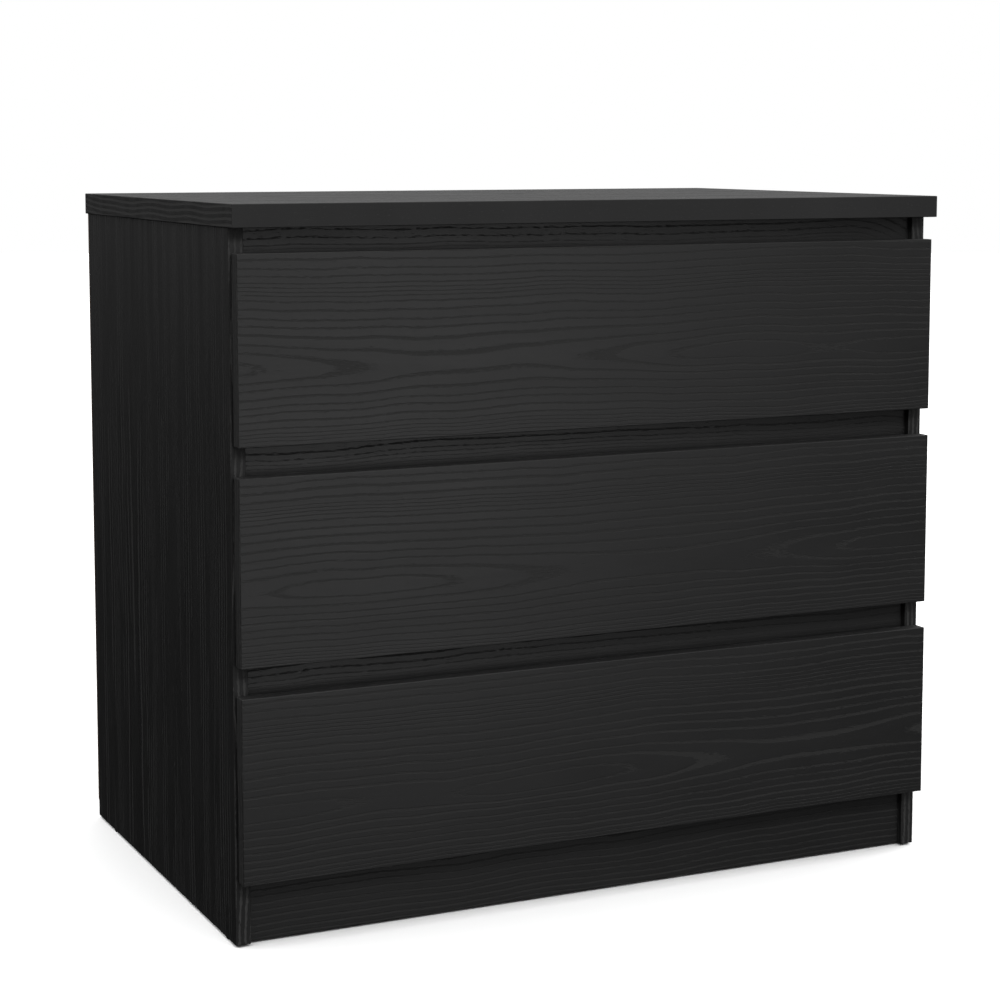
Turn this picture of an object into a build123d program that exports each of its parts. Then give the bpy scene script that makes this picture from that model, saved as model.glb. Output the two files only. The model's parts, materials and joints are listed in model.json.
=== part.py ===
from build123d import *
from typing import NamedTuple
import os

# A free-standing chest with three overlay drawers, in millimetres.
# X runs to the right, Y to the back and Z up; the origin is on the floor, under the middle.
# The drawer fronts have no handles: each is pulled by its top edge, through the gap above it.

# ---------------------------------------------------------------- driving dimensions
HEIGHT = 701.0
TOP_WIDTH = 774.0
TOP_DEPTH = 500.0
TOP_THICKNESS = 22.0
TOP_OVERHANG = 2.5  # past each side panel
BOARD = 15.0  # sides, rails, kick board and drawer fronts
EDGE_RADIUS = 0.8

FRONT_SETBACK = 2.0  # drawer fronts behind the top's front edge
FRONT_GAP = 2.7  # between a drawer front and the edges of the side panels
FRONT_INSET = 2.25  # drawer front short of the side panel's outer face
FRONT_HEIGHT = 178.5
LOWEST_FRONT = 64.1
DRAWER_PITCH = 206.6

RAIL_RECESS = 7.0  # rails and kick board behind the side panels' front edges
RAIL_HEIGHT = 38.0
RAIL_LAP = 5.0  # a rail's top above the foot of the drawer front that hides it
REAR_RAIL_BASE = 20.0
REAR_RAIL_HEIGHT = 60.0
RAIL_FITTING_LIFTS = (13.0, 28.0)  # of the cam bolts and of the dowels, above the board's base
KICK_BOARD_FITTING_LIFTS = (20.0, 48.0)
REAR_RAIL_FITTING_LIFTS = (18.0, 44.0)
BACK_THICKNESS = 2.5
BACK_SETBACK = 0.7  # back panel's outer face inside the top's rear edge
BACK_INSET = 0.2  # back panel short of the side panel's outer face

GLIDE_THICKNESS = 2.0
GLIDE_RADIUS = 7.0
GLIDE_YS = (-201.0, 183.0)

DRAWER_BOARD = 12.0
DRAWER_LENGTH = 454.0
DRAWER_SIDE_HEIGHT = 130.0
DRAWER_SIDE_LIFT = 13.2  # heights called lifts are above the foot of the drawer front
DRAWER_BOTTOM_THICKNESS = 3.0
DRAWER_BOTTOM_LIFT = 21.2
GROOVE_DEPTH = 6.0

# Roller runners. Distances called across are from the side panel's inner face, inwards.
RUNNER_SPACE = 12.5
STEEL = 1.2
CHANNEL_YS = (-228.0, 222.0)
CHANNEL_LIFTS = (7.0, 28.6)
CHANNEL_FLOOR_ACROSS = 10.2
CHANNEL_LID_ACROSS = 8.5
CHANNEL_FLOOR_FRONT_Y = -203.0
CHANNEL_SCREW_YS = (-180.0, 10.0, 195.0)
CHANNEL_SCREW_LIFT = 17.2
STOP_HEIGHT = 4.0
STOP_ACROSS = (3.0, 9.0)
STOP_PLAY = 0.4
TRACK_LIFT = 25.0
TRACK_ACROSS = 2.6
TRACK_TO_ROLLER = 3.2
SHELF_WIDTH = 12.0
DRAWER_SCREW_YS = (-190.0, 0.0, 185.0)
DRAWER_SCREW_LIFT = 17.6

ROLLER_RADIUS = 8.8
ROLLER_GAP = 0.2  # under a roller, and between a cabinet roller and the track it carries
ROLLER_ACROSS = (3.2, 9.2)
CABINET_ROLLER_Y = -216.0
DRAWER_ROLLER_Y = 211.5
DRAWER_TRAVEL = 330.0
AXLE_RADIUS = 2.5
AXLE_CLEARANCE = 0.05
AXLE_HEAD_RADIUS = 3.6
AXLE_HEAD = 0.5
AXLE_BOSS_RADIUS = 4.0
AXLE_PLAY = 0.1

# Knock-down fittings and fasteners
FIT = 0.05
TIP_GAP = 0.5  # beyond the tip of a fastener or dowel
BOLT_REACH = 24.0  # from a board's end to the middle of its cam
BOLT_THREAD = 10.0
BOLT_THREAD_RADIUS = 2.5
BOLT_NECK_RADIUS = 2.0
BOLT_HEAD = 3.0
DOWEL_RADIUS = 4.0
DOWEL_IN_FACE = 10.0
DOWEL_IN_END = 20.0
TOP_BOLT_YS = (-180.0, 190.0)
TOP_DOWEL_YS = (-145.0, 155.0)
SMALL_CAM_LIFTS = (48.2, 108.2)
SCREW_RADIUS = 1.75
SCREW_HEAD_RADIUS = 3.5
SCREW_HEAD = 0.9
RECESS_LENGTH = 4.0
RECESS_WIDTH = 0.9
RECESS_DEPTH = 0.6
PANEL_SCREW = 13.0
DRAWER_SCREW = 10.0
BACK_SCREW = 32.0
BACK_SCREW_LIFTS = (48.2, 118.2)
NAIL_RADIUS = 0.75
NAIL_LENGTH = 16.0
NAIL_HEAD_RADIUS = 2.0
NAIL_HEAD = 0.6
SIDE_NAILS = 9
LOWEST_SIDE_NAIL = 80.0
SIDE_NAIL_PITCH = 69.5
RAIL_NAILS = 5
RAIL_NAIL_PITCH = 120.0

# ---------------------------------------------------------------- places worked out from them
TOP_BASE = HEIGHT - TOP_THICKNESS
SIDE_OUTER = TOP_WIDTH / 2 - TOP_OVERHANG
SIDE_INNER = SIDE_OUTER - BOARD
SIDE_MIDDLE = SIDE_OUTER - BOARD / 2
FRONT_FACE_Y = -TOP_DEPTH / 2 + FRONT_SETBACK
FRONT_BACK_Y = FRONT_FACE_Y + BOARD
CARCASE_FRONT_Y = FRONT_BACK_Y + FRONT_GAP
RAIL_FRONT_Y = CARCASE_FRONT_Y + RAIL_RECESS
BACK_OUTER_Y = TOP_DEPTH / 2 - BACK_SETBACK
CARCASE_REAR_Y = BACK_OUTER_Y - BACK_THICKNESS
BOX_OUTER = SIDE_INNER - RUNNER_SPACE
BOX_INNER = BOX_OUTER - DRAWER_BOARD
BOX_MIDDLE = BOX_OUTER - DRAWER_BOARD / 2
BOX_REAR_Y = FRONT_BACK_Y + DRAWER_LENGTH
BOX_BACK_Y = BOX_REAR_Y - DRAWER_BOARD
TRACK_REAR_Y = DRAWER_ROLLER_Y - ROLLER_RADIUS - TRACK_TO_ROLLER
OUT_STOP_Y = DRAWER_ROLLER_Y - DRAWER_TRAVEL - ROLLER_RADIUS - STOP_PLAY
ROLLER_WIDTH = ROLLER_ACROSS[1] - ROLLER_ACROSS[0]
SIDE_NAIL_ZS = [LOWEST_SIDE_NAIL + SIDE_NAIL_PITCH * i for i in range(SIDE_NAILS)]
RAIL_NAIL_XS = [RAIL_NAIL_PITCH * (i - RAIL_NAILS // 2) for i in range(RAIL_NAILS)]

HANDS = {"left": -1, "right": 1}
DRAWERS = {
    "top": LOWEST_FRONT + 2 * DRAWER_PITCH,
    "middle": LOWEST_FRONT + DRAWER_PITCH,
    "bottom": LOWEST_FRONT,
}
DOWN = (0, 0, -1)
BACKWARDS = (0, 1, 0)
FORWARDS = (0, -1, 0)
ON_PLANE = (Align.CENTER, Align.CENTER, Align.MIN)
BELOW_PLANE = (Align.CENTER, Align.CENTER, Align.MAX)


class CrossBoard(NamedTuple):
    """A board between the side panels, with the heights of its end fittings above its base."""

    front_y: float
    base: float
    top: float
    bolt_lift: float
    dowel_lift: float
    cam_face: tuple


class Cam(NamedTuple):
    """A size of cam fitting."""

    radius: float
    thickness: float
    board: float
    bore_radius: float
    head_radius: float


RAIL_TOPS = {
    "top_front_rail": TOP_BASE,
    "middle_front_rail": DRAWERS["top"] + RAIL_LAP,
    "lower_front_rail": DRAWERS["middle"] + RAIL_LAP,
}
CROSS_BOARDS = {
    name: CrossBoard(RAIL_FRONT_Y, top - RAIL_HEIGHT, top, *RAIL_FITTING_LIFTS, BACKWARDS)
    for name, top in RAIL_TOPS.items()
}
CROSS_BOARDS["kick_board"] = CrossBoard(
    RAIL_FRONT_Y, GLIDE_THICKNESS, LOWEST_FRONT + RAIL_LAP, *KICK_BOARD_FITTING_LIFTS, BACKWARDS
)
CROSS_BOARDS["rear_rail"] = CrossBoard(
    CARCASE_REAR_Y - BOARD,
    REAR_RAIL_BASE,
    REAR_RAIL_BASE + REAR_RAIL_HEIGHT,
    *REAR_RAIL_FITTING_LIFTS,
    FORWARDS,
)
CARCASE_CAM = Cam(radius=7.4, thickness=12.0, board=BOARD, bore_radius=3.5, head_radius=3.2)
DRAWER_CAM = Cam(radius=5.9, thickness=9.3, board=DRAWER_BOARD, bore_radius=2.8, head_radius=2.5)
CAM_CLEARANCE = 0.1
CAM_POCKET_EXTRA = 0.2
DRIVER_SLOT = (8.0, 1.4, 1.5)  # length, width and depth

os.makedirs("parts", exist_ok=True)


# ---------------------------------------------------------------- helpers
def write(piece, name):
    """Labels a finished piece and writes it as the node of that name."""
    piece.part.label = name
    export_step(piece.part, f"parts/{name}.step")


def rectangle_between(low, high):
    """Adds the rectangle with these opposite corners to the sketch being made."""
    with Locations(((low[0] + high[0]) / 2, (low[1] + high[1]) / 2)):
        Rectangle(abs(high[0] - low[0]), abs(high[1] - low[1]))


def facing(points, normal):
    """Planes at these points with this normal: holes go against it, studs along it."""
    return [Plane(origin=point, z_dir=normal) for point in points]


def reversed_planes(planes):
    """The same planes, facing the other way."""
    return [Plane(origin=plane.origin, z_dir=-plane.z_dir) for plane in planes]


def drill(planes, radius, depth):
    """Drills a blind hole at each plane, against its normal."""
    with Locations(*planes):
        Hole(radius, depth)


def add_studs(planes, radius, start, length):
    """Adds a round bar at each plane, along its normal from start."""
    with Locations(*planes):
        with Locations((0, 0, start)):
            Cylinder(radius, length, align=ON_PLANE)


def add_screws(planes, length):
    """Adds a flat-headed screw with a cross recess at each plane, its head above and its thread below."""
    add_studs(planes, SCREW_RADIUS, -length, length)
    add_studs(planes, SCREW_HEAD_RADIUS, 0, SCREW_HEAD)
    with Locations(*planes):
        with Locations((0, 0, SCREW_HEAD)):
            for size in ((RECESS_LENGTH, RECESS_WIDTH), (RECESS_WIDTH, RECESS_LENGTH)):
                Box(*size, RECESS_DEPTH, align=BELOW_PLANE, mode=Mode.SUBTRACT)


def cam_planes(bolt_planes, cam_face, cam):
    """Where the cams of these bolts sit: on that face of the board, x towards the bolt."""
    to_face = Vector(*cam_face) * (cam.board / 2)
    return [
        Plane(origin=bolt.origin + bolt.z_dir * BOLT_REACH + to_face, x_dir=-bolt.z_dir, z_dir=cam_face)
        for bolt in bolt_planes
    ]


def drill_for_cams(bolt_planes, cam_face, cam):
    """Drills a board's end for its cam bolts, and its face for their cams."""
    drill(reversed_planes(bolt_planes), cam.bore_radius, BOLT_REACH)
    depth = cam.thickness + CAM_POCKET_EXTRA
    drill(cam_planes(bolt_planes, cam_face, cam), cam.radius + CAM_CLEARANCE, depth)


def add_cams(bolt_planes, cam_face, cam):
    """Adds each bolt's cam disc, with a driver slot and a channel for the bolt's head."""
    channel = 2 * cam.bore_radius
    with Locations(*cam_planes(bolt_planes, cam_face, cam)):
        Cylinder(cam.radius, cam.thickness, align=BELOW_PLANE)
        Box(*DRIVER_SLOT, align=BELOW_PLANE, mode=Mode.SUBTRACT)
        with Locations((0, 0, -cam.board / 2)):
            Box(channel / 2, channel, channel, mode=Mode.SUBTRACT)
            Box(
                2 * cam.radius,
                channel,
                channel,
                align=(Align.MIN, Align.CENTER, Align.CENTER),
                mode=Mode.SUBTRACT,
            )


def add_cam_bolts(planes, cam):
    """Adds a cam bolt at each plane: its thread below, its neck and head above."""
    add_studs(planes, BOLT_THREAD_RADIUS, -BOLT_THREAD, BOLT_THREAD)
    add_studs(planes, BOLT_NECK_RADIUS, 0, BOLT_REACH - BOLT_HEAD)
    add_studs(planes, cam.head_radius, BOLT_REACH - BOLT_HEAD, BOLT_HEAD)


def top_planes(sign, ys):
    """Planes on the underside of the top, over the edge of a side panel."""
    return facing([(sign * SIDE_MIDDLE, y, TOP_BASE) for y in ys], DOWN)


def end_planes(board, lift, sign):
    """The plane on a side panel's inner face where a cross board has a fitting this high."""
    point = (sign * SIDE_INNER, board.front_y + BOARD / 2, board.base + lift)
    return facing([point], (-sign, 0, 0))


def side_bolts(sign):
    """All planes where cam bolts screw into the inner face of a side panel."""
    return [plane for b in CROSS_BOARDS.values() for plane in end_planes(b, b.bolt_lift, sign)]


def side_dowels(sign):
    """All planes where dowels enter the inner face of a side panel."""
    return [plane for b in CROSS_BOARDS.values() for plane in end_planes(b, b.dowel_lift, sign)]


def channel_screw_planes(foot, sign):
    """Planes on a cabinet runner's web where its screws' heads sit."""
    points = [(sign * (SIDE_INNER - STEEL), y, foot + CHANNEL_SCREW_LIFT) for y in CHANNEL_SCREW_YS]
    return facing(points, (-sign, 0, 0))


def drawer_screw_planes(foot, sign):
    """Planes on a drawer runner's web where its screws' heads sit."""
    points = [(sign * (BOX_OUTER + STEEL), y, foot + DRAWER_SCREW_LIFT) for y in DRAWER_SCREW_YS]
    return facing(points, (sign, 0, 0))


def back_screw_planes(foot, sign):
    """Planes on a drawer side's outer face where the screws into the drawer's back start."""
    middle = BOX_BACK_Y + DRAWER_BOARD / 2
    return facing([(sign * BOX_OUTER, middle, foot + lift) for lift in BACK_SCREW_LIFTS], (sign, 0, 0))


def front_bolt_planes(foot, sign):
    """Planes on the back of a drawer front where the bolts for a drawer side screw in."""
    return facing([(sign * BOX_MIDDLE, FRONT_BACK_Y, foot + lift) for lift in SMALL_CAM_LIFTS], BACKWARDS)


def nail_planes(front_y):
    """Planes facing backwards where the back panel's nails pass, at this depth."""
    points = [(sign * SIDE_MIDDLE, front_y, z) for sign in HANDS.values() for z in SIDE_NAIL_ZS]
    points += [(x, front_y, REAR_RAIL_BASE + REAR_RAIL_HEIGHT / 2) for x in RAIL_NAIL_XS]
    return facing(points, BACKWARDS)


def glide_planes(sign):
    """Planes on a side panel's lower edge where its glides are nailed on."""
    return facing([(sign * SIDE_MIDDLE, y, GLIDE_THICKNESS) for y in GLIDE_YS], DOWN)


# ---------------------------------------------------------------- top panel
with BuildPart() as top_panel:
    with BuildSketch(Plane.XY.offset(TOP_BASE)):
        Rectangle(TOP_WIDTH, TOP_DEPTH)
    extrude(amount=TOP_THICKNESS)
    fillet(top_panel.edges(), EDGE_RADIUS)
    for sign in HANDS.values():
        drill(top_planes(sign, TOP_BOLT_YS), BOLT_THREAD_RADIUS + FIT, BOLT_THREAD + TIP_GAP)
        drill(top_planes(sign, TOP_DOWEL_YS), DOWEL_RADIUS + FIT, DOWEL_IN_FACE + TIP_GAP)
write(top_panel, "top_panel")

# ---------------------------------------------------------------- side panels
nail_hole_depth = NAIL_LENGTH - BACK_THICKNESS + TIP_GAP
for hand, sign in HANDS.items():
    with BuildPart() as side_panel:
        with BuildSketch(Plane.YZ.offset(sign * SIDE_INNER)):
            rectangle_between((CARCASE_FRONT_Y, GLIDE_THICKNESS), (CARCASE_REAR_Y, TOP_BASE))
        extrude(amount=sign * BOARD)
        fillet(side_panel.edges(), EDGE_RADIUS)
        drill_for_cams(top_planes(sign, TOP_BOLT_YS), (-sign, 0, 0), CARCASE_CAM)
        drill(reversed_planes(top_planes(sign, TOP_DOWEL_YS)), DOWEL_RADIUS + FIT, DOWEL_IN_END + TIP_GAP)
        drill(side_bolts(sign), BOLT_THREAD_RADIUS + FIT, BOLT_THREAD + TIP_GAP)
        drill(side_dowels(sign), DOWEL_RADIUS + FIT, DOWEL_IN_FACE + TIP_GAP)
        for foot in DRAWERS.values():
            screw_depth = STEEL + PANEL_SCREW + TIP_GAP
            drill(channel_screw_planes(foot, sign), SCREW_RADIUS + FIT, screw_depth)
        drill(nail_planes(CARCASE_REAR_Y), NAIL_RADIUS + FIT, nail_hole_depth)
        drill(glide_planes(sign), NAIL_RADIUS + FIT, NAIL_LENGTH + TIP_GAP)
    write(side_panel, f"{hand}_side_panel")

# ---------------------------------------------------------------- front rails, kick board, rear rail
for name, board in CROSS_BOARDS.items():
    with BuildPart() as cross_board:
        with BuildSketch(Plane.XZ.offset(-board.front_y - BOARD)):
            rectangle_between((-SIDE_INNER, board.base), (SIDE_INNER, board.top))
        extrude(amount=BOARD)
        fillet(cross_board.edges().filter_by(Axis.X), EDGE_RADIUS)
        for sign in HANDS.values():
            drill_for_cams(end_planes(board, board.bolt_lift, sign), board.cam_face, CARCASE_CAM)
            dowel_planes = reversed_planes(end_planes(board, board.dowel_lift, sign))
            drill(dowel_planes, DOWEL_RADIUS + FIT, DOWEL_IN_END + TIP_GAP)
        if name == "rear_rail":
            drill(nail_planes(CARCASE_REAR_Y), NAIL_RADIUS + FIT, nail_hole_depth)
    write(cross_board, name)

# ---------------------------------------------------------------- back panel
with BuildPart() as back_panel:
    half_width = SIDE_OUTER - BACK_INSET
    with BuildSketch(Plane.XZ.offset(-BACK_OUTER_Y)):
        rectangle_between((-half_width, REAR_RAIL_BASE), (half_width, TOP_BASE))
    extrude(amount=BACK_THICKNESS)
    drill(nail_planes(BACK_OUTER_Y), NAIL_RADIUS + FIT, BACK_THICKNESS)
write(back_panel, "back_panel")

# ---------------------------------------------------------------- glides and carcase fasteners
with BuildPart() as floor_glides:
    for sign in HANDS.values():
        add_studs(glide_planes(sign), GLIDE_RADIUS, 0, GLIDE_THICKNESS)
    fillet(floor_glides.edges().group_by(Axis.Z)[0], EDGE_RADIUS)
    for sign in HANDS.values():
        add_studs(glide_planes(sign), NAIL_RADIUS, -NAIL_LENGTH, NAIL_LENGTH)
write(floor_glides, "floor_glides")

with BuildPart() as back_nails:
    add_studs(nail_planes(BACK_OUTER_Y), NAIL_RADIUS, -NAIL_LENGTH, NAIL_LENGTH)
    add_studs(nail_planes(BACK_OUTER_Y), NAIL_HEAD_RADIUS, 0, NAIL_HEAD)
write(back_nails, "back_nails")

with BuildPart() as cam_bolts:
    for sign in HANDS.values():
        add_cam_bolts(top_planes(sign, TOP_BOLT_YS) + side_bolts(sign), CARCASE_CAM)
write(cam_bolts, "cam_bolts")

with BuildPart() as cam_locks:
    for sign in HANDS.values():
        add_cams(top_planes(sign, TOP_BOLT_YS), (-sign, 0, 0), CARCASE_CAM)
        for board in CROSS_BOARDS.values():
            add_cams(end_planes(board, board.bolt_lift, sign), board.cam_face, CARCASE_CAM)
write(cam_locks, "cam_locks")

with BuildPart() as carcase_dowels:
    for sign in HANDS.values():
        planes = top_planes(sign, TOP_DOWEL_YS) + side_dowels(sign)
        add_studs(planes, DOWEL_RADIUS, -DOWEL_IN_FACE, DOWEL_IN_FACE + DOWEL_IN_END)
write(carcase_dowels, "carcase_dowels")

with BuildPart() as runner_screws:
    for sign in HANDS.values():
        for foot in DRAWERS.values():
            add_screws(channel_screw_planes(foot, sign), STEEL + PANEL_SCREW)
write(runner_screws, "cabinet_runner_screws")


# ---------------------------------------------------------------- runners and their rollers
def add_axle(plane, roller_start):
    """Adds a riveted axle that holds a roller from roller_start along the plane's normal."""
    roller_end = roller_start + ROLLER_WIDTH + AXLE_PLAY
    add_studs(plane, AXLE_BOSS_RADIUS, 0, roller_start - AXLE_PLAY)
    add_studs(plane, AXLE_RADIUS, 0, roller_end + AXLE_HEAD)
    add_studs(plane, AXLE_HEAD_RADIUS, roller_end, AXLE_HEAD)


def across(sign, low, high, foot, lift_low, lift_high):
    """Adds a strip of a cabinet runner's section, between two distances across and two lifts."""
    rectangle_between(
        (sign * (SIDE_INNER - low), foot + lift_low), (sign * (SIDE_INNER - high), foot + lift_high)
    )


for level, foot in DRAWERS.items():
    floor_lift = CHANNEL_LIFTS[0] + STEEL
    cabinet_axle_z = foot + TRACK_LIFT - ROLLER_GAP - ROLLER_RADIUS
    drawer_axle_z = foot + floor_lift + ROLLER_GAP + ROLLER_RADIUS
    drawer_roller_start = RUNNER_SPACE - ROLLER_ACROSS[1]
    bore_radius = AXLE_RADIUS + AXLE_CLEARANCE
    for hand, sign in HANDS.items():
        cabinet_axle = facing([(sign * SIDE_INNER, CABINET_ROLLER_Y, cabinet_axle_z)], (-sign, 0, 0))
        drawer_axle = facing([(sign * BOX_OUTER, DRAWER_ROLLER_Y, drawer_axle_z)], (sign, 0, 0))

        with BuildPart() as cabinet_runner:
            with BuildSketch(Plane.XZ.offset(-CHANNEL_YS[1])):
                across(sign, 0, STEEL, foot, *CHANNEL_LIFTS)
                across(sign, 0, CHANNEL_LID_ACROSS, foot, CHANNEL_LIFTS[1] - STEEL, CHANNEL_LIFTS[1])
            extrude(amount=CHANNEL_YS[1] - CHANNEL_YS[0])
            with BuildSketch(Plane.XZ.offset(-CHANNEL_YS[1])):
                across(sign, 0, CHANNEL_FLOOR_ACROSS, foot, CHANNEL_LIFTS[0], floor_lift)
            extrude(amount=CHANNEL_YS[1] - CHANNEL_FLOOR_FRONT_Y)
            for stop_y in (CHANNEL_YS[1], OUT_STOP_Y):
                with BuildSketch(Plane.XZ.offset(-stop_y)):
                    across(sign, *STOP_ACROSS, foot, CHANNEL_LIFTS[0], floor_lift + STOP_HEIGHT)
                extrude(amount=STEEL)
            drill(channel_screw_planes(foot, sign), SCREW_RADIUS + FIT, STEEL)
            add_axle(cabinet_axle, ROLLER_ACROSS[0])
        write(cabinet_runner, f"{level}_{hand}_cabinet_runner")

        with BuildPart() as cabinet_roller:
            add_studs(cabinet_axle, ROLLER_RADIUS, ROLLER_ACROSS[0], ROLLER_WIDTH)
            fillet(cabinet_roller.edges(), EDGE_RADIUS)
            drill(cabinet_axle, bore_radius, RUNNER_SPACE)
        write(cabinet_roller, f"{level}_{hand}_cabinet_roller")

        with BuildPart() as drawer_runner:
            with BuildSketch(Plane.XZ.offset(-BOX_REAR_Y)):
                rectangle_between(
                    (sign * BOX_OUTER, foot + DRAWER_SIDE_LIFT - STEEL),
                    (sign * (BOX_OUTER + STEEL), foot + TRACK_LIFT + STEEL),
                )
                rectangle_between(
                    (sign * (BOX_OUTER - SHELF_WIDTH), foot + DRAWER_SIDE_LIFT - STEEL),
                    (sign * BOX_OUTER, foot + DRAWER_SIDE_LIFT),
                )
            extrude(amount=BOX_REAR_Y - FRONT_BACK_Y)
            with BuildSketch(Plane.XZ.offset(-TRACK_REAR_Y)):
                across(sign, TRACK_ACROSS, RUNNER_SPACE, foot, TRACK_LIFT, TRACK_LIFT + STEEL)
            extrude(amount=TRACK_REAR_Y - FRONT_BACK_Y)
            drill(drawer_screw_planes(foot, sign), SCREW_RADIUS + FIT, STEEL)
            add_axle(drawer_axle, drawer_roller_start)
        write(drawer_runner, f"{level}_drawer_{hand}_runner")

        with BuildPart() as drawer_roller:
            add_studs(drawer_axle, ROLLER_RADIUS, drawer_roller_start, ROLLER_WIDTH)
            fillet(drawer_roller.edges(), EDGE_RADIUS)
            drill(drawer_axle, bore_radius, RUNNER_SPACE)
        write(drawer_roller, f"{level}_drawer_{hand}_roller")

# ---------------------------------------------------------------- drawers
for level, foot in DRAWERS.items():
    box_base = foot + DRAWER_SIDE_LIFT
    box_top = box_base + DRAWER_SIDE_HEIGHT
    groove_base = foot + DRAWER_BOTTOM_LIFT
    groove_top = groove_base + DRAWER_BOTTOM_THICKNESS
    bottom_half_width = BOX_INNER + GROOVE_DEPTH
    front_half_width = SIDE_OUTER - FRONT_INSET

    with BuildPart() as drawer_front:
        with BuildSketch(Plane.XZ.offset(-FRONT_BACK_Y)):
            rectangle_between((-front_half_width, foot), (front_half_width, foot + FRONT_HEIGHT))
        extrude(amount=BOARD)
        fillet(drawer_front.edges(), EDGE_RADIUS)
        with BuildSketch(Plane.XZ.offset(-FRONT_BACK_Y)):
            rectangle_between((-bottom_half_width, groove_base), (bottom_half_width, groove_top))
        extrude(amount=GROOVE_DEPTH, mode=Mode.SUBTRACT)
        for sign in HANDS.values():
            bolt_planes = front_bolt_planes(foot, sign)
            drill(bolt_planes, BOLT_THREAD_RADIUS + FIT, BOLT_THREAD + TIP_GAP)
    write(drawer_front, f"{level}_drawer_front")

    for hand, sign in HANDS.items():
        with BuildPart() as drawer_side:
            with BuildSketch(Plane.YZ.offset(sign * BOX_INNER)):
                rectangle_between((FRONT_BACK_Y, box_base), (BOX_REAR_Y, box_top))
            extrude(amount=sign * DRAWER_BOARD)
            fillet(drawer_side.edges().group_by(Axis.Z)[-1], EDGE_RADIUS)
            with BuildSketch(Plane.YZ.offset(sign * BOX_INNER)):
                rectangle_between((FRONT_BACK_Y, groove_base), (BOX_REAR_Y, groove_top))
            extrude(amount=sign * GROOVE_DEPTH, mode=Mode.SUBTRACT)
            drill_for_cams(front_bolt_planes(foot, sign), (-sign, 0, 0), DRAWER_CAM)
            drill(drawer_screw_planes(foot, sign), SCREW_RADIUS + FIT, STEEL + DRAWER_SCREW + TIP_GAP)
            drill(back_screw_planes(foot, sign), SCREW_RADIUS + FIT, DRAWER_BOARD)
        write(drawer_side, f"{level}_drawer_{hand}_side")

    with BuildPart() as drawer_back:
        with BuildSketch(Plane.XZ.offset(-BOX_REAR_Y)):
            rectangle_between((-BOX_INNER, groove_top), (BOX_INNER, box_top))
        extrude(amount=DRAWER_BOARD)
        fillet(drawer_back.edges().filter_by(Axis.X).group_by(Axis.Z)[-1], EDGE_RADIUS)
        for sign in HANDS.values():
            drill(back_screw_planes(foot, sign), SCREW_RADIUS + FIT, BACK_SCREW + TIP_GAP)
    write(drawer_back, f"{level}_drawer_back")

    with BuildPart() as drawer_bottom:
        with BuildSketch(Plane.XY.offset(groove_base)):
            front_edge_y = FRONT_BACK_Y - GROOVE_DEPTH
            rectangle_between((-bottom_half_width, front_edge_y), (bottom_half_width, BOX_REAR_Y))
        extrude(amount=DRAWER_BOTTOM_THICKNESS)
    write(drawer_bottom, f"{level}_drawer_bottom")

    with BuildPart() as cam_fittings:
        for sign in HANDS.values():
            add_cams(front_bolt_planes(foot, sign), (-sign, 0, 0), DRAWER_CAM)
        for sign in HANDS.values():
            add_cam_bolts(front_bolt_planes(foot, sign), DRAWER_CAM)
    write(cam_fittings, f"{level}_drawer_cam_fittings")

    with BuildPart() as drawer_screws:
        for sign in HANDS.values():
            add_screws(drawer_screw_planes(foot, sign), STEEL + DRAWER_SCREW)
            add_screws(back_screw_planes(foot, sign), BACK_SCREW)
    write(drawer_screws, f"{level}_drawer_screws")
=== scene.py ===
"""The looks of a three-drawer chest in black embossed ash-grain foil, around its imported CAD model.

Everything is in metres, in the CAD model's frame: X to the right, Y to the back, Z up, origin on the floor.
"""

import json
import math
from typing import NamedTuple

import bpy
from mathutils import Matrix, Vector


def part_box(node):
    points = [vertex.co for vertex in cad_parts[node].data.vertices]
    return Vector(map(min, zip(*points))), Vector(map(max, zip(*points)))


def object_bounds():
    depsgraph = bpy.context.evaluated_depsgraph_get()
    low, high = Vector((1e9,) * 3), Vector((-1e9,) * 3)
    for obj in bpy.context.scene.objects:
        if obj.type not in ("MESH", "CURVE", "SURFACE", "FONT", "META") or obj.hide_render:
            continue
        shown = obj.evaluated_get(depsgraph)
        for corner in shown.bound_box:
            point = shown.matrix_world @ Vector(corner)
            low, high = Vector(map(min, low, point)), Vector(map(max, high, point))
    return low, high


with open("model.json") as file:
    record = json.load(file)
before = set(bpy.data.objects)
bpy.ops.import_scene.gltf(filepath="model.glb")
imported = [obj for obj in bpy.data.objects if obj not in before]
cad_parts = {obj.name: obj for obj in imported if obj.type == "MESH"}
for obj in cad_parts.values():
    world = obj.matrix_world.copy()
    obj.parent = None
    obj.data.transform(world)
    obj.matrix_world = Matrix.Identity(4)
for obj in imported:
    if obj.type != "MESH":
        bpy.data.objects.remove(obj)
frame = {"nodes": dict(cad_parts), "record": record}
cad_low, cad_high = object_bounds()
CENTRE = (cad_low + cad_high) / 2

# ---------------------------------------------------------------- the camera and the studio
CAMERA_PLACE = (-1.0615, -2.2522, 0.7545)
CAMERA_TURN = 25.216  # degrees, from looking along +Y towards +X
CAMERA_TILT = 5.931  # degrees below the horizon
CAMERA_LENS = 83.354  # millimetres, on a 36 mm sensor
CAMERA_SHIFT = -0.115

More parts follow.
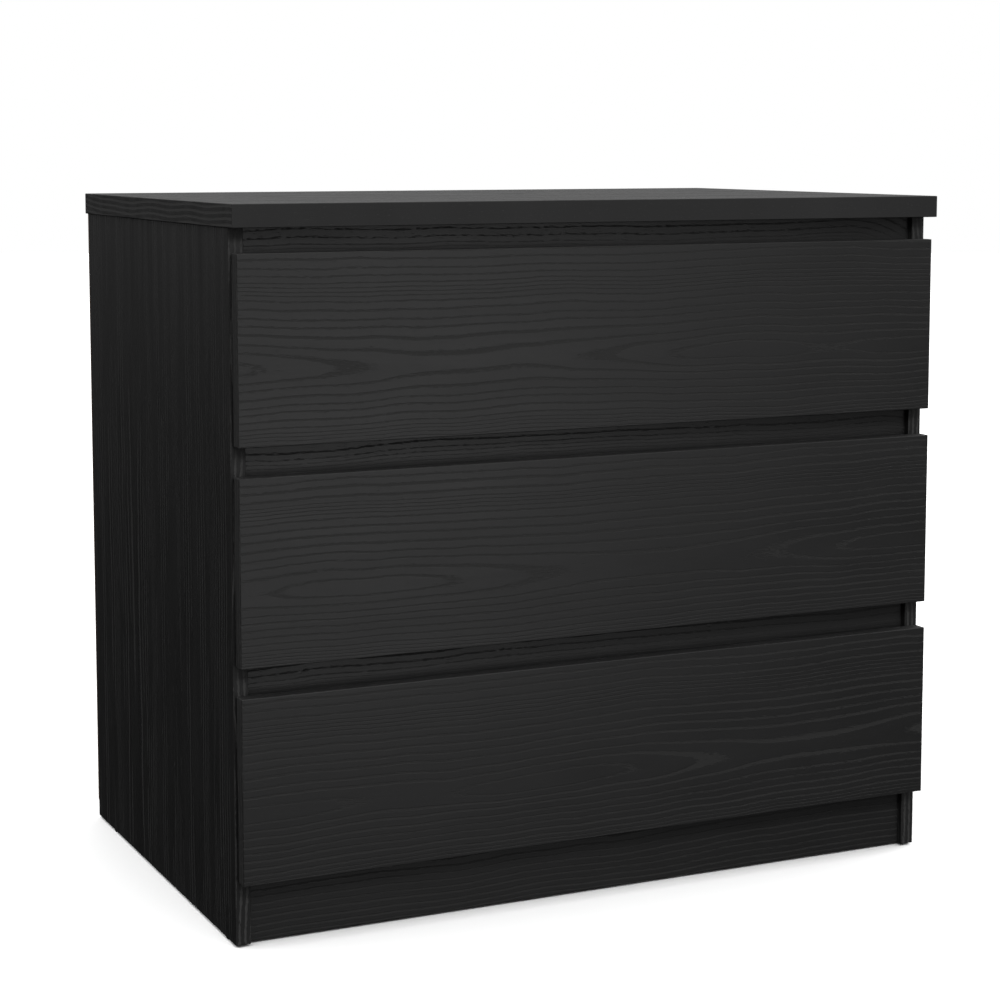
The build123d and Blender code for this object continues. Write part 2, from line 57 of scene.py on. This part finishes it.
LIGHT_DISTANCE = 3.2  # from the middle of the object
WHITE = 1.0  # the background, as the camera sees it
ROOM_DARK = 0.007  # the strength of the room that lights the object, below ROOM_LOW
ROOM_BRIGHT = 0.874  # and above ROOM_HIGH
ROOM_LOW = -0.1  # the upward part of a ray's direction
ROOM_HIGH = 0.5
FLOOR_RADIUS = 14.0
FLOOR_RINGS = 24
FLOOR_SIDES = 96
FLOOR_DROP = 0.0003  # below the glides, so that the two never share a plane
FLOOR_TONE = (0.90, 0.90, 0.90)
FLOOR_LIGHT_STRENGTH = 3.4
FLOOR_LIGHT_SPREAD = 120  # degrees


class Softbox(NamedTuple):
    """A soft light that looks at the object, from turn degrees right of the front and rise above it."""

    name: str
    turn: float
    rise: float
    size: tuple  # metres
    power: float  # watts


SOFTBOXES = (
    Softbox("key", turn=-11, rise=35, size=(1.20, 0.56), power=20.5),
    Softbox("right_fill", turn=95, rise=20, size=(1.3, 1.3), power=14),
    Softbox("front_fill", turn=20, rise=5, size=(0.90, 0.70), power=2.8),
    Softbox("low_fill", turn=13, rise=-8, size=(0.90, 0.70), power=4.2),
)

# ---------------------------------------------------------------- the foil's figure
RING = 0.0074  # between two growth rings, far from the heart of the figure
# Runs of narrow rings: from one radius to another, and how many rings more than at the usual width.
SLOW_YEARS = (
    (0.060, 0.080, 2.2),
    (0.140, 0.175, 3.0),
    (0.250, 0.290, 3.5),
)
RING_WANDER = 0.020  # slow, across the board
RING_RIPPLE = 0.0030  # quick
RING_UNEVEN = 0.005  # in width, from ring to ring
WEAKEST_RING = 0.65
RING_STRENGTHS = 0.35  # from the weakest to the strongest
HEART_RADIUS = (0.004, 0.012)  # the lines are faint inside the first and whole outside the second
HEART_LINES = 0.3
LOPSIDED = 0.08  # how much closer the rings are on the lower side of the heart
DEEPEST = 0.025
# How deep the heart of the log lies under the surface, along the grain: a share of a board's reach from where
# the figure is narrowest, and a share of DEEPEST.
FIGURE = (
    (-1.00, 0.15),
    (-0.80, 0.24),
    (-0.64, 0.42),
    (-0.54, 0.26),
    (-0.44, 0.12),
    (-0.36, 0.22),
    (-0.27, 0.44),
    (-0.15, 0.68),
    (0.00, 0.84),
    (0.17, 0.70),
    (0.29, 0.44),
    (0.38, 0.21),
    (0.47, 0.12),
    (0.57, 0.34),
    (0.67, 0.20),
    (0.80, 0.12),
    (1.00, 0.50),
)


class Foil(NamedTuple):
    """How the foil lies on a board: its grain runs along one axis, and its broad faces look along another."""

    along: str
    face: str
    heart: float  # the middle of the figure, across the grain
    pinch: float  # where the figure is narrowest, along the grain
    end_lines: float = 0.7  # how bold the lines are on the edge bands at its ends
    edge_lines: float = 0.3  # and on the ones along it
    streaks: float = 0.15  # how much the broad faces vary in tone and gloss from streak to streak
    reach: float = 0.7  # of the figure, each way from where it is narrowest
    lines: float = 1.0  # how strong the lines are on the broad faces


SIDE_FOIL = Foil("Z", "X", heart=0.085, pinch=0.22, edge_lines=0.9, streaks=2.0, reach=1.6)
FOILS = {
    "top_panel": Foil("X", "Z", heart=0.03, pinch=-0.12, end_lines=1.0, edge_lines=0.05, streaks=2.2),
    "left_side_panel": SIDE_FOIL,
    "right_side_panel": SIDE_FOIL._replace(heart=-0.04, pinch=0.45),
    "top_drawer_front": Foil("X", "Y", heart=0.546, pinch=-0.15),
    "middle_drawer_front": Foil("X", "Y", heart=0.339, pinch=0.05),
    "bottom_drawer_front": Foil("X", "Y", heart=0.132, pinch=0.24),
    "top_front_rail": Foil("X", "Y", heart=0.58, pinch=-0.40, lines=0.75),
    "middle_front_rail": Foil("X", "Y", heart=0.38, pinch=-0.35, lines=0.75),
    "lower_front_rail": Foil("X", "Y", heart=0.17, pinch=0.30, lines=0.75),
    "kick_board": Foil("X", "Y", heart=0.14, pinch=0.24),
    "rear_rail": Foil("X", "Y", heart=0.18, pinch=0.10),
}


# ---------------------------------------------------------------- writing materials
class Term:
    """A value that varies over a surface: the output of a shader node, with arithmetic."""

    def __init__(self, graph, socket):
        self.graph = graph
        self.socket = socket

    def __add__(self, other):
        return self.graph.math("ADD", self, other)

    def __sub__(self, other):
        return self.graph.math("SUBTRACT", self, other)

    def __rsub__(self, other):
        return self.graph.math("SUBTRACT", other, self)

    def __mul__(self, other):
        return self.graph.math("MULTIPLY", self, other)

    def __truediv__(self, other):
        return self.graph.math("DIVIDE", self, other)

    __radd__ = __add__
    __rmul__ = __mul__


class Graph:
    """The node tree of one material, with short calls for the nodes that it uses."""

    def __init__(self, name):
        self.material = bpy.data.materials.new(name)
        self.material.use_nodes = True
        self.nodes = self.material.node_tree.nodes
        self.links = self.material.node_tree.links
        self.nodes.clear()

    def feed(self, socket, value):
        """Links a term to an input, or gives the input a constant."""
        if isinstance(value, Term):
            self.links.new(value.socket, socket)
        else:
            socket.default_value = value

    def math(self, operation, *values):
        node = self.nodes.new("ShaderNodeMath")
        node.operation = operation
        for socket, value in zip(node.inputs, values):
            self.feed(socket, value)
        return Term(self, node.outputs[0])

    def split(self, output):
        """The three parts of a texture coordinate, by axis."""
        coordinates = self.nodes.new("ShaderNodeTexCoord")
        parts = self.nodes.new("ShaderNodeSeparateXYZ")
        self.links.new(coordinates.outputs[output], parts.inputs[0])
        return {axis: Term(self, parts.outputs[axis]) for axis in "XYZ"}

    def noise(self, x, y, z, detail=2.0, roughness=0.5):
        """Smooth noise, 0 to 1 with a mean of a half, of a point with these coordinates."""
        point = self.nodes.new("ShaderNodeCombineXYZ")
        for socket, value in zip(point.inputs, (x, y, z)):
            self.feed(socket, value)
        node = self.nodes.new("ShaderNodeTexNoise")
        node.inputs["Scale"].default_value = 1.0
        node.inputs["Detail"].default_value = detail
        node.inputs["Roughness"].default_value = roughness
        self.links.new(point.outputs[0], node.inputs["Vector"])
        return Term(self, node.outputs[0])

    def random(self, value):
        """A number from 0 to 1 of its own for each whole value."""
        node = self.nodes.new("ShaderNodeTexWhiteNoise")
        node.noise_dimensions = "1D"
        self.feed(node.inputs["W"], value)
        return Term(self, node.outputs["Value"])

    def ramp(self, value, low, high, start=0.0, end=1.0):
        """A smooth step from start to end, as the value goes from low to high."""
        node = self.nodes.new("ShaderNodeMapRange")
        node.interpolation_type = "SMOOTHSTEP"
        for socket, number in zip(node.inputs, (value, low, high, start, end)):
            self.feed(socket, number)
        return Term(self, node.outputs[0])

    def mix(self, share, first, second):
        """first where share is 0, second where it is 1."""
        node = self.nodes.new("ShaderNodeMix")
        sockets = (node.inputs[0], node.inputs[2], node.inputs[3])
        for socket, value in zip(sockets, (share, first, second)):
            self.feed(socket, value)
        return Term(self, node.outputs[0])

    def colours(self, share, first, second):
        """The same for colours, each (r, g, b) or a term."""
        node = self.nodes.new("ShaderNodeMix")
        node.data_type = "RGBA"
        values = [c if isinstance(c, Term) else (*c, 1.0) for c in (first, second)]
        sockets = (node.inputs[0], node.inputs[6], node.inputs[7])
        for socket, value in zip(sockets, (share, *values)):
            self.feed(socket, value)
        return Term(self, node.outputs[2])

    def scaled(self, colour, share):
        """A colour made lighter or darker."""
        node = self.nodes.new("ShaderNodeVectorMath")
        node.operation = "SCALE"
        self.feed(node.inputs[0], colour)
        self.feed(node.inputs["Scale"], share)
        return Term(self, node.outputs[0])

    def curve(self, value, points):
        """A smooth function of a value from 0 to 1, through these points."""
        node = self.nodes.new("ShaderNodeFloatCurve")
        line = node.mapping.curves[0]
        for _ in points[2:]:
            line.points.new(0.5, 0.5)
        for point, place in zip(line.points, points):
            point.location = place
        node.mapping.update()
        self.feed(node.inputs["Value"], value)
        return Term(self, node.outputs[0])

    def finish(self, colour, roughness, height, **constants):
        """Ends the tree in a surface with this colour, roughness and relief, in metres."""
        output = self.nodes.new("ShaderNodeOutputMaterial")
        surface = self.nodes.new("ShaderNodeBsdfPrincipled")
        bump = self.nodes.new("ShaderNodeBump")
        bump.inputs["Distance"].default_value = 1.0
        self.feed(bump.inputs["Height"], height)
        self.feed(surface.inputs["Base Color"], colour)
        self.feed(surface.inputs["Roughness"], roughness)
        self.links.new(bump.outputs[0], surface.inputs["Normal"])
        for name, value in constants.items():
            surface.inputs[name.replace("_", " ").title().replace("Ior", "IOR")].default_value = value
        self.links.new(surface.outputs[0], output.inputs["Surface"])
        return self.material


def edge_nearness(graph, place, node, width):
    """1 on a board's edges, falling to 0 this far from them."""
    low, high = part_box(node)
    middle, half = (low + high) / 2, (high - low) / 2
    depths = [half[i] - graph.math("ABSOLUTE", place[axis] - middle[i]) for i, axis in enumerate("XYZ")]
    least = graph.math("MINIMUM", graph.math("MINIMUM", depths[0], depths[1]), depths[2])
    most = graph.math("MAXIMUM", graph.math("MAXIMUM", depths[0], depths[1]), depths[2])
    second = depths[0] + depths[1] + depths[2] - least - most
    return graph.ramp(second, width, 0.0)


# ---------------------------------------------------------------- the foil
FOIL_SKIN = (0.0180, 0.0180, 0.0182)
FOIL_PORE = (0.0330, 0.0329, 0.0326)
# The colour of the lighter edges: partly wear, partly a painted highlight for the light that the rounded
# edges catch.
FOIL_WEAR_AND_HIGHLIGHT = (0.0320, 0.0316, 0.0310)
BAND_SKIN = (0.0165, 0.0165, 0.0167)
BAND_PORE = (0.0620, 0.0618, 0.0612)
SKIN_ROUGHNESS = 0.40
PORE_ROUGHNESS = 0.90
BAND_ROUGHNESS = 0.60
PORE_DEPTH = 0.00010
LINE_DEPTH = 0.00005
SKIN_RELIEF = 0.00002
SEED_STEP = 11.0  # between the noises of one board and the next
FACING = (0.6, 0.8)  # from where a surface begins to count as facing an axis, to where it fully does
BAND_RING = 0.0058  # between the lines of an edge band
BAND_WAVE = 0.030  # how far they wander
BAND_RIPPLE = 0.0012

# The foil's noises are stretched along the grain. In cycles per metre, along and across it:
WANDER_NOISE = (4, 5)
RIPPLE_NOISE = (22, 30)
BAND_RIPPLE_NOISE = (60, 200)
PORE_NOISE = (170, 1500)
CLUSTER_NOISE = (150, 480)
STREAK_NOISE = (2.2, 55)
CLOUD_NOISE = (9, 26)
FIBRE_NOISE = (30, 700)
# And of those that vary in one direction only:
UNEVEN_NOISE = 70
BAND_WAVE_NOISE = 5

# A line across a ring, in shares of the ring: where it starts, is whole, begins to fade and is gone.
RING_LINE = (0.0, 0.10, 0.16, 0.44)
BAND_LINE = (0.0, 0.25, 0.35, 0.70)

PORES_IN_LINES = 0.14  # the density of pores in a line, without the clusters
PORES_IN_CLUSTERS = 1.9  # and what a full cluster adds in a line
PORES_ANYWHERE = 0.55  # how much the clusters vary the density everywhere
PORE_EDGE = 0.73  # a pore is where its noise is above this, at no density
PORE_EDGE_FALL = 0.44  # and this much lower at a density of 1
PORE_SOFTNESS = 0.04  # how far on either side of that it fades

STREAK_SPAN = 0.10  # a streak is dark below minus this, and bright above it
LINES_IN_STREAKS = (0.1, 1.9)  # how strong the lines are in a dark streak and in a bright one
# The lighter edges, partly wear and partly a painted highlight: how wide they are, in which patches they lie,
# and how strong they are.
WEAR_AND_HIGHLIGHT_WIDTH = 0.0011
WEAR_AND_HIGHLIGHT_PATCHES = (0.75, 1.15)  # of the noises' sum: from no wear to full wear
WEAR_AND_HIGHLIGHT_STRENGTH = 0.6

# How light the skin is: a share that is always there, and how much of each noise is added to it.
SKIN_TONE = 0.70
CLOUD_TONE = 0.35
FIBRE_TONE = 0.25
STREAK_TONE = 1.6
CLOUD_ROUGHNESS = 0.10  # how much the clouds vary the roughness
STREAK_GLOSS = 0.5  # and how much of a streak is taken off it


def grain_noise(graph, along, across, fineness, third, **kind):
    """Noise that is stretched along the grain, at one value of a third coordinate."""
    return graph.noise(along * fineness[0], across * fineness[1], third, **kind)


def line_across(graph, phase, start, whole, fade, gone):
    """A line in each turn of the phase: 0 at start, 1 from whole to fade, and 0 again when gone."""
    return graph.ramp(phase, start, whole) * graph.ramp(phase, gone, fade)


def ring_lines(graph, along, across, foil, seed):
    """How strong the open-pored line of a growth ring is, 0 to 1, on a board's broad face."""
    wander = (grain_noise(graph, along, across, WANDER_NOISE, seed) - 0.5) * RING_WANDER
    ripple = (grain_noise(graph, along, across, RIPPLE_NOISE, seed + 3, detail=3.0) - 0.5) * RING_RIPPLE
    share = (along - foil.pinch) * (0.5 / foil.reach) + 0.5
    depth = graph.curve(share, [((x + 1) / 2, y) for x, y in FIGURE]) * DEEPEST
    aside = across - foil.heart + wander
    aside = aside - graph.math("ABSOLUTE", aside) * LOPSIDED + ripple
    radius = graph.math("SQRT", aside * aside + depth * depth)
    uneven = (graph.noise(radius * UNEVEN_NOISE, seed, 0.0) - 0.5) * RING_UNEVEN
    count = (radius + uneven) / RING
    for start, end, more in SLOW_YEARS:
        count = count + graph.ramp(radius, start, end, 0.0, more)
    phase = graph.math("FRACT", count)
    strength = graph.random(graph.math("FLOOR", count) + seed) * RING_STRENGTHS + WEAKEST_RING
    line = line_across(graph, phase, *RING_LINE)
    return line * strength * graph.ramp(radius, *HEART_RADIUS, HEART_LINES, 1.0) * foil.lines


def pores(graph, along, across, line, seed):
    """Where the short open pores are, 0 to 1: dense in the lines, sparse between them."""
    fleck = grain_noise(graph, along, across, PORE_NOISE, seed, detail=1.0)
    cluster = grain_noise(graph, along, across, CLUSTER_NOISE, seed + 7, detail=2.0)
    density = line * (cluster * PORES_IN_CLUSTERS + PORES_IN_LINES) + (cluster - 0.5) * PORES_ANYWHERE
    edge = PORE_EDGE - density * PORE_EDGE_FALL
    return graph.ramp(fleck - edge, -PORE_SOFTNESS, PORE_SOFTNESS)


def band_lines(graph, along, across, seed):
    """The long wavy lines of the edge bands, 0 to 1."""
    wave = (graph.noise(along * BAND_WAVE_NOISE, seed, 1.0, detail=1.0) - 0.5) * BAND_WAVE
    ripple = (grain_noise(graph, along, across, BAND_RIPPLE_NOISE, seed) - 0.5) * BAND_RIPPLE
    phase = graph.math("FRACT", (across + wave + ripple) / BAND_RING)
    return line_across(graph, phase, *BAND_LINE)


def foil_material(node, foil, seed):
    """Black foil embossed with ash grain, for one board: lines of open pores, matt on a glossier skin."""
    graph = Graph(f"foil_{node}")
    place = graph.split("Object")
    facing = graph.split("Normal")
    side = ({"X", "Y", "Z"} - {foil.along, foil.face}).pop()
    along, across, through = place[foil.along], place[side], place[foil.face]
    on_face = graph.ramp(graph.math("ABSOLUTE", facing[foil.face]), *FACING)
    on_end = graph.ramp(graph.math("ABSOLUTE", facing[foil.along]), *FACING)

    band_along = graph.mix(on_end, along, across)
    boldness = graph.mix(on_end, foil.edge_lines, foil.end_lines)
    band = band_lines(graph, band_along, through, seed) * boldness
    tones = grain_noise(graph, along, across, STREAK_NOISE, seed + 5, detail=4.0, roughness=0.6)
    streak = (tones - 0.5) * foil.streaks
    boost = graph.ramp(streak, -STREAK_SPAN, STREAK_SPAN, *LINES_IN_STREAKS)
    rings = ring_lines(graph, along, across, foil, seed) * boost
    line = graph.mix(on_face, band, rings)
    pore_along = graph.mix(on_face, band_along, along)
    pore_across = graph.mix(on_face, through, across)
    pore = pores(graph, pore_along, pore_across, line, seed)

    cloud = grain_noise(graph, along, across, CLOUD_NOISE, seed, detail=3.0)
    fibre = grain_noise(graph, along, across, FIBRE_NOISE, through * FIBRE_NOISE[1], detail=2.0)
    # Lighter edges in patches: partly wear, partly a painted highlight for the light that the rounded edges
    # catch.
    wear = edge_nearness(graph, place, node, WEAR_AND_HIGHLIGHT_WIDTH) * graph.ramp(fibre + cloud, *WEAR_AND_HIGHLIGHT_PATCHES)
    skin = graph.colours(on_face, BAND_SKIN, FOIL_SKIN)
    skin = graph.scaled(skin, cloud * CLOUD_TONE + fibre * FIBRE_TONE + streak * STREAK_TONE + SKIN_TONE)
    colour = graph.colours(pore, skin, graph.colours(on_face, BAND_PORE, FOIL_PORE))
    colour = graph.colours(wear * WEAR_AND_HIGHLIGHT_STRENGTH, colour, FOIL_WEAR_AND_HIGHLIGHT)
    skin_roughness = graph.mix(on_face, BAND_ROUGHNESS, SKIN_ROUGHNESS - streak * STREAK_GLOSS)
    roughness = graph.mix(pore, skin_roughness + (cloud - 0.5) * CLOUD_ROUGHNESS, PORE_ROUGHNESS)
    height = pore * -PORE_DEPTH - line * LINE_DEPTH + fibre * SKIN_RELIEF
    return graph.finish(colour, roughness, height)


# ---------------------------------------------------------------- the other materials
# Coordinates are multiplied by cycles per metre, and heights are in metres.
def box_foil_material(name):
    """The plain matt foil on the drawers' sides and backs, with a faint straight grain."""
    graph = Graph(name)
    place = graph.split("Object")
    grain = graph.noise(place["X"] * 30, place["Y"] * 6, place["Z"] * 420, detail=3.0)
    speck = graph.noise(place["X"] * 900, place["Y"] * 900, place["Z"] * 900, detail=1.0)
    colour = graph.colours(graph.ramp(grain, 0.35, 0.7), (0.028, 0.027, 0.026), (0.043, 0.041, 0.039))
    roughness = grain * 0.15 + speck * 0.08 + 0.42
    return graph.finish(colour, roughness, grain * 0.00006 + speck * 0.00002)


def fibreboard_material(name, dark, light, roughness, relief):
    """Hard fibreboard: a mat of short fibres, in three sizes."""
    graph = Graph(name)
    place = graph.split("Object")
    x, y, z = place["X"], place["Y"], place["Z"]
    clumps = graph.noise(x * 40, y * 40, z * 40, detail=4.0, roughness=0.65)
    fibres = graph.noise(x * 700, y * 300, z * 300, detail=3.0, roughness=0.7)
    crossing = graph.noise(x * 260, y * 650, z * 650, detail=3.0, roughness=0.7)
    mat = clumps * 0.5 + fibres * 0.5 + crossing * 0.5
    colour = graph.colours(graph.ramp(mat, 0.55, 0.95), dark, light)
    colour = graph.scaled(colour, graph.ramp(graph.noise(x * 3, y * 3, z * 3), 0.3, 0.7, 0.92, 1.06))
    return graph.finish(colour, roughness + (fibres - 0.5) * 0.2, mat * relief)


def painted_steel_material(name):
    """White epoxy powder coat on the runners, with a fine orange peel and rubbed greyer in places."""
    graph = Graph(name)
    place = graph.split("Object")
    x, y, z = place["X"], place["Y"], place["Z"]
    peel = graph.noise(x * 900, y * 900, z * 900, detail=1.0)
    rubbed = graph.ramp(graph.noise(x * 60, y * 9, z * 160, detail=4.0), 0.52, 0.72)
    colour = graph.colours(rubbed, (0.70, 0.70, 0.68), (0.58, 0.58, 0.565))
    return graph.finish(colour, peel * 0.12 + rubbed * 0.10 + 0.26, peel * 0.00002)


def plastic_material(name, colour, roughness, texture):
    """Moulded plastic with a fine grain and slight unevenness in tone."""
    graph = Graph(name)
    place = graph.split("Object")
    x, y, z = place["X"], place["Y"], place["Z"]
    grain = graph.noise(x * texture, y * texture, z * texture, detail=2.0)
    tone = graph.noise(x * 120, y * 120, z * 120, detail=2.0)
    shade = graph.scaled(colour, tone * 0.24 + 0.88)
    return graph.finish(shade, roughness + (grain - 0.5) * 0.2, grain * 0.00002)


def beech_material(name):
    """Raw beech dowels: straight pale grain with small brown flecks."""
    graph = Graph(name)
    place = graph.split("Object")
    x, y, z = place["X"], place["Y"], place["Z"]
    grain = graph.noise(x * 500, y * 500, z * 500, detail=3.0)
    fleck = graph.ramp(graph.noise(x * 900, y * 900, z * 300, detail=1.0), 0.62, 0.72)
    colour = graph.colours(graph.ramp(grain, 0.3, 0.7), (0.50, 0.33, 0.20), (0.64, 0.46, 0.30))
    colour = graph.colours(fleck * 0.6, colour, (0.34, 0.20, 0.11))
    return graph.finish(colour, grain * 0.2 + 0.5, grain * 0.00005)


def bare_metal_material(name, colour, roughness, stretch):
    """Plated or drawn metal: fine streaks in the gloss and a slight cloudiness."""
    graph = Graph(name)
    place = graph.split("Object")
    x, y, z = place["X"], place["Y"], place["Z"]
    streaks = graph.noise(x * stretch[0], y * stretch[1], z * stretch[2], detail=3.0)
    cloud = graph.noise(x * 180, y * 180, z * 180, detail=3.0)
    shade = graph.scaled(colour, cloud * 0.3 + 0.82)
    return graph.finish(
        shade, roughness + (streaks - 0.5) * 0.22 + (cloud - 0.5) * 0.1, streaks * 0.000015, metallic=1.0
    )


def slot_materials():
    """One material for each of the record's slots but the foil, which has one for each board."""
    return {
        "drawer_box_foil": box_foil_material("drawer_box_foil"),
        "drawer_bottom_fibreboard": fibreboard_material(
            "drawer_bottom_fibreboard", (0.030, 0.028, 0.026), (0.052, 0.048, 0.044), 0.42, 0.00003
        ),
        "back_fibreboard": fibreboard_material(
            "back_fibreboard", (0.17, 0.095, 0.050), (0.34, 0.21, 0.125), 0.72, 0.00012
        ),
        "runner_steel": painted_steel_material("runner_steel"),
        "roller_nylon": plastic_material("roller_nylon", (0.72, 0.71, 0.67), 0.45, 1200),
        "glide_plastic": plastic_material("glide_plastic", (0.022, 0.022, 0.022), 0.5, 1500),
        "dowel_beech": beech_material("dowel_beech"),
        "fitting_zinc": bare_metal_material("fitting_zinc", (0.62, 0.62, 0.64), 0.34, (900, 300, 900)),
        "nail_steel": bare_metal_material("nail_steel", (0.50, 0.50, 0.52), 0.38, (400, 900, 400)),
    }


def dress(nodes, subparts):
    """Gives every CAD node the material of its slot."""
    shared = slot_materials()
    foils = {name: foil_material(name, foil, SEED_STEP * i) for i, (name, foil) in enumerate(FOILS.items())}
    for subpart in subparts:
        name, slot = subpart["node"], subpart["material_slot"]
        mesh = nodes[name].data
        mesh.materials.clear()
        mesh.materials.append(foils[name] if name in foils else shared[slot])


# ---------------------------------------------------------------- the studio
def make_camera():
    data = bpy.data.cameras.new("camera")
    data.sensor_width = 36.0
    data.lens = CAMERA_LENS
    data.shift_y = CAMERA_SHIFT
    data.clip_start = 0.05
    data.clip_end = 100.0
    camera = bpy.data.objects.new("camera", data)
    camera.location = CAMERA_PLACE
    camera.rotation_euler = (math.radians(90 - CAMERA_TILT), 0, math.radians(-CAMERA_TURN))
    bpy.context.scene.collection.objects.link(camera)
    bpy.context.scene.camera = camera


def make_floor():
    """A plain pale disc. It takes shadows, but neither blocks nor reflects light: low_fill shines through."""
    mesh = bpy.data.meshes.new("floor")
    points = [(0.0, 0.0, 0.0)]
    for ring in range(1, FLOOR_RINGS + 1):
        radius = FLOOR_RADIUS * (ring / FLOOR_RINGS) ** 2
        turns = [math.tau * side / FLOOR_SIDES for side in range(FLOOR_SIDES)]
        points += [(radius * math.cos(turn), radius * math.sin(turn), 0.0) for turn in turns]
    faces = [(0, 1 + side, 1 + (side + 1) % FLOOR_SIDES) for side in range(FLOOR_SIDES)]
    for ring in range(FLOOR_RINGS - 1):
        inner, outer = 1 + ring * FLOOR_SIDES, 1 + (ring + 1) * FLOOR_SIDES
        for side in range(FLOOR_SIDES):
            after = (side + 1) % FLOOR_SIDES
            faces.append((inner + side, outer + side, outer + after, inner + after))
    mesh.from_pydata(points, [], faces)
    floor = bpy.data.objects.new("floor", mesh)
    floor.location = (CENTRE.x, CENTRE.y, cad_low.z - FLOOR_DROP)
    floor.visible_diffuse = False
    floor.visible_glossy = False
    floor.visible_shadow = False
    bpy.context.scene.collection.objects.link(floor)
    graph = Graph("floor")
    place = graph.split("Object")
    mottle = graph.noise(place["X"] * 2, place["Y"] * 2, place["Z"], detail=2.0)
    tone = graph.scaled(FLOOR_TONE, mottle * 0.02 + 0.99)
    mesh.materials.append(graph.finish(tone, 0.9, mottle * 0.0001, specular_ior_level=0.0))
    return floor


def add_softbox(box):
    data = bpy.data.lights.new(box.name, "AREA")
    data.shape = "RECTANGLE"
    data.size, data.size_y = box.size
    data.energy = box.power
    light = bpy.data.objects.new(box.name, data)
    azimuth, elevation = math.radians(box.turn), math.radians(box.rise)
    away = Vector(
        (
            math.sin(azimuth) * math.cos(elevation),
            -math.cos(azimuth) * math.cos(elevation),
            math.sin(elevation),
        )
    )
    light.location = CENTRE + away * LIGHT_DISTANCE
    light.rotation_euler = away.to_track_quat("Z", "Y").to_euler()
    bpy.context.scene.collection.objects.link(light)


def add_floor_light(floor):
    """Even light from above for the floor alone, which keeps it as white as the background."""
    data = bpy.data.lights.new("floor_light", "SUN")
    data.energy = FLOOR_LIGHT_STRENGTH
    data.angle = math.radians(FLOOR_LIGHT_SPREAD)
    light = bpy.data.objects.new("floor_light", data)
    bpy.context.scene.collection.objects.link(light)
    lit = bpy.data.collections.new("lit_by_floor_light")
    lit.objects.link(floor)
    light.light_linking.receiver_collection = lit


def make_world():
    """The background is white to the camera. What lights the object is a dim room, brighter above."""
    world = bpy.data.worlds.new("studio")
    world.use_nodes = True
    nodes, links = world.node_tree.nodes, world.node_tree.links
    nodes.clear()
    output = nodes.new("ShaderNodeOutputWorld")
    chosen = nodes.new("ShaderNodeMixShader")
    rays = nodes.new("ShaderNodeLightPath")
    room = nodes.new("ShaderNodeBackground")
    backdrop = nodes.new("ShaderNodeBackground")
    backdrop.inputs["Color"].default_value = (WHITE, WHITE, WHITE, 1.0)
    coordinates = nodes.new("ShaderNodeTexCoord")
    parts = nodes.new("ShaderNodeSeparateXYZ")
    rise = nodes.new("ShaderNodeMapRange")
    for socket, value in zip(list(rise.inputs)[1:5], (ROOM_LOW, ROOM_HIGH, ROOM_DARK, ROOM_BRIGHT)):
        socket.default_value = value
    links.new(coordinates.outputs["Generated"], parts.inputs[0])
    links.new(parts.outputs["Z"], rise.inputs[0])
    links.new(rise.outputs[0], room.inputs["Strength"])
    links.new(rays.outputs["Is Camera Ray"], chosen.inputs[0])
    links.new(room.outputs[0], chosen.inputs[1])
    links.new(backdrop.outputs[0], chosen.inputs[2])
    links.new(chosen.outputs[0], output.inputs["Surface"])
    bpy.context.scene.world = world


make_camera()
make_world()
add_floor_light(make_floor())
for softbox in SOFTBOXES:
    add_softbox(softbox)
dress(frame["nodes"], frame["record"]["subparts"])
bpy.context.scene.view_settings.view_transform = "Standard"
